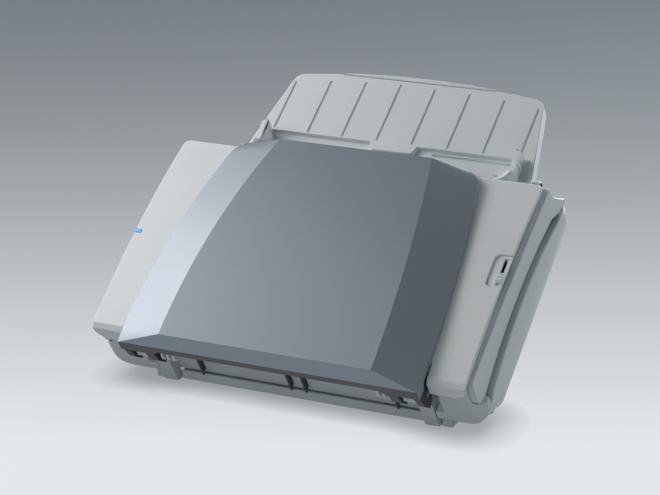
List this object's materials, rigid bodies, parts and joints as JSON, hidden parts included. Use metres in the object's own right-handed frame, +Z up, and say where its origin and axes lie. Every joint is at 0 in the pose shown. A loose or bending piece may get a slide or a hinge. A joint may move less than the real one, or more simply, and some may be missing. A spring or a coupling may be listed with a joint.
{
  "type": "document scanner",
  "caption": "Sheet-fed desktop document scanner with a leaning body, a hinged front unit, a faceted eject cover and a grooved feed tray with sliding document guides.",
  "frame": {"origin": "middle of the footprint at the level of the desk", "axes": "+X to the right and +Y to the back as seen from the front, +Z up"},
  "size_m": [0.323, 0.3116, 0.2039],
  "materials": {
    "panel_plastic": "fine satin light grey",
    "light_plastic": "satin mid grey",
    "tray_plastic": "satin light grey",
    "dark_plastic": "satin blue grey with a faint metallic look",
    "black_plastic": "matt",
    "white_plastic": "natural acetal",
    "rubber": "matt",
    "steel": "plated sheet and bar",
    "board": "solder mask",
    "sensor_glass": "clear",
    "lens": "tinted"
  },
  "bodies": {
    "rear_body": {"rear_shell": "light_plastic", "base_stand": "light_plastic", "exit_guide": "black_plastic", "hinge_bracket_right": "light_plastic", "hinge_bracket_left": "light_plastic", "hinge_pin_right": "steel", "hinge_pin_left": "steel", "tray_pin_right": "steel", "tray_pin_left": "steel", "rear_foot_right": "rubber", "rear_foot_left": "rubber", "front_foot_right": "light_plastic", "front_foot_left": "light_plastic", "chassis": "steel", "lower_paper_guide": "black_plastic", "lower_image_sensor": "black_plastic", "lower_sensor_glass": "sensor_glass", "drive_motor": "steel", "control_board": "board", "usb_socket": "steel", "power_inlet": "black_plastic"},
    "front_unit": {"front_cover": "panel_plastic", "side_strip_right": "light_plastic", "side_strip_left": "light_plastic", "upper_paper_guide": "black_plastic", "upper_image_sensor": "black_plastic", "upper_sensor_glass": "sensor_glass", "selector_plate": "panel_plastic", "status_lens": "lens"},
    "eject_cover": {"cover_shell": "dark_plastic", "cover_liner": "dark_plastic"},
    "eject_tray_extension": {"eject_extension": "dark_plastic"},
    "feed_tray": {"tray_shell": "tray_plastic"},
    "feed_tray_extension": {"feed_extension": "tray_plastic"},
    "right_guide": {"document_guide_right": "tray_plastic"},
    "left_guide": {"document_guide_left": "tray_plastic"},
    "guide_gear": {"guide_pinion": "white_plastic"},
    "feed_roller": {"feed_shaft": "steel", "feed_gear": "white_plastic", "feed_tyre_right": "rubber", "feed_tyre_left": "rubber"},
    "transport_roller": {"transport_shaft": "steel", "transport_gear": "white_plastic", "transport_tyre_right": "rubber", "transport_tyre_left": "rubber"},
    "eject_roller": {"eject_shaft": "steel", "eject_gear": "white_plastic", "eject_tyre_right": "rubber", "eject_tyre_left": "rubber"},
    "first_idler": {"first_idler_gear": "white_plastic"},
    "second_idler": {"second_idler_gear": "white_plastic"},
    "motor_gear": {"motor_pinion": "white_plastic"},
    "retard_wheel": {"retard_roller": "rubber"},
    "transport_pinch": {"transport_idler": "white_plastic"},
    "eject_pinch": {"eject_idler": "white_plastic"},
    "selector": {"selector_knob": "panel_plastic"}
  },
  "joints": [
    {"name": "front_unit_hinge", "type": "hinge", "parent": "rear_body", "child": "front_unit", "pos_m": [0, -0.13147, 0.04149], "axis": [-1, 0, 0], "range_deg": [-50, 0]},
    {"name": "eject_cover_hinge", "type": "hinge", "parent": "front_unit", "child": "eject_cover", "pos_m": [0, -0.13147, 0.04149], "axis": [1, 0, 0], "range_deg": [0, 145]},
    {"name": "eject_extension_slide", "type": "slide", "parent": "eject_cover", "child": "eject_tray_extension", "axis": [0, 0.8261, 0.5635], "range_m": [0, 0.075]},
    {"name": "feed_tray_hinge", "type": "hinge", "parent": "rear_body", "child": "feed_tray", "pos_m": [0, 0.07303, 0.1454], "axis": [-1, 0, 0], "range_deg": [-100, 0]},
    {"name": "feed_extension_slide", "type": "slide", "parent": "feed_tray", "child": "feed_tray_extension", "axis": [0, 0.8261, 0.5635], "range_m": [0, 0.045]},
    {"name": "guide_right_slide", "type": "slide", "parent": "feed_tray", "child": "right_guide", "axis": [-1, 0, 0], "range_m": [0, 0.07]},
    {"name": "guide_left_slide", "type": "slide", "parent": "feed_tray", "child": "left_guide", "axis": [1, 0, 0], "range_m": [0, 0.07]},
    {"name": "guide_pinion_spin", "type": "hinge", "parent": "feed_tray", "child": "guide_gear", "pos_m": [0, 0.0828, 0.14795], "axis": [0, -0.5635, 0.8261], "range_deg": [0, 680]},
    {"name": "transport_spin", "type": "hinge", "parent": "rear_body", "child": "transport_roller", "pos_m": [0, -0.03072, 0.06858], "axis": [1, 0, 0], "continuous": true},
    {"name": "feed_spin", "type": "hinge", "parent": "rear_body", "child": "feed_roller", "pos_m": [0, 0.01472, 0.09957], "axis": [1, 0, 0], "continuous": true},
    {"name": "eject_spin", "type": "hinge", "parent": "rear_body", "child": "eject_roller", "pos_m": [0, -0.08193, 0.03364], "axis": [1, 0, 0], "continuous": true},
    {"name": "first_idler_spin", "type": "hinge", "parent": "rear_body", "child": "first_idler", "pos_m": [-0.143, -0.008, 0.08407], "axis": [1, 0, 0], "continuous": true},
    {"name": "second_idler_spin", "type": "hinge", "parent": "rear_body", "child": "second_idler", "pos_m": [-0.143, -0.05633, 0.05111], "axis": [1, 0, 0], "continuous": true},
    {"name": "motor_spin", "type": "hinge", "parent": "rear_body", "child": "motor_gear", "pos_m": [-0.143, -0.01095, 0.06148], "axis": [1, 0, 0], "continuous": true},
    {"name": "retard_spin", "type": "hinge", "parent": "front_unit", "child": "retard_wheel", "pos_m": [0, 0.00367, 0.11576], "axis": [1, 0, 0], "continuous": true},
    {"name": "transport_pinch_spin", "type": "hinge", "parent": "front_unit", "child": "transport_pinch", "pos_m": [0, -0.04063, 0.08312], "axis": [1, 0, 0], "continuous": true},
    {"name": "eject_pinch_spin", "type": "hinge", "parent": "front_unit", "child": "eject_pinch", "pos_m": [0, -0.09185, 0.04818], "axis": [1, 0, 0], "continuous": true},
    {"name": "selector_slide", "type": "slide", "parent": "front_unit", "child": "selector", "axis": [0, 0.8261, 0.5635], "range_m": [0, 0.016]}
  ],
  "couplings": [
    {"joint": "feed_spin", "follows": "transport_spin", "ratio": 1},
    {"joint": "eject_spin", "follows": "transport_spin", "ratio": 1},
    {"joint": "first_idler_spin", "follows": "transport_spin", "ratio": -1.2},
    {"joint": "second_idler_spin", "follows": "transport_spin", "ratio": -0.9375},
    {"joint": "motor_spin", "follows": "transport_spin", "ratio": -2.5},
    {"joint": "guide_left_slide", "follows": "guide_right_slide", "ratio": 1},
    {"joint": "guide_pinion_spin", "follows": "guide_right_slide", "rad_per_m": 166.67}
  ]
}
